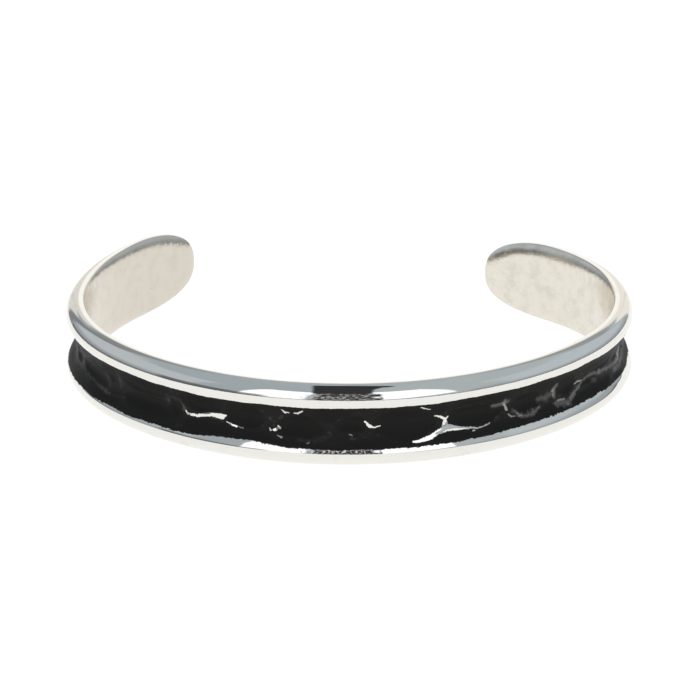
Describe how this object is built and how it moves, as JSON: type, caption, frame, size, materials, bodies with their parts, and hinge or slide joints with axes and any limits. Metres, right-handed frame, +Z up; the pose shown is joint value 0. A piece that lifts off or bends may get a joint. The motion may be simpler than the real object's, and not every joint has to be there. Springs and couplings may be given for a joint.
{
  "type": "cuff bracelet",
  "caption": "Open cast silver cuff bracelet with two polished rounded rims, a hammered blackened channel between them, a plain inner face and rounded paddle ends.",
  "frame": {"origin": "under the middle of the band's bounding box, on the surface that its lower edge rests on", "axes": "+Z up through the wrist hollow, +X across the cuff's width, +Y toward the open gap between the tips, so the front of the cuff faces -Y"},
  "size_m": [0.069, 0.0574, 0.01],
  "materials": {
    "silver": "polished silver, satin inside, oxidised black in the hammered channel"
  },
  "bodies": {
    "root": {"cuff_band": "silver"}
  },
  "joints": []
}
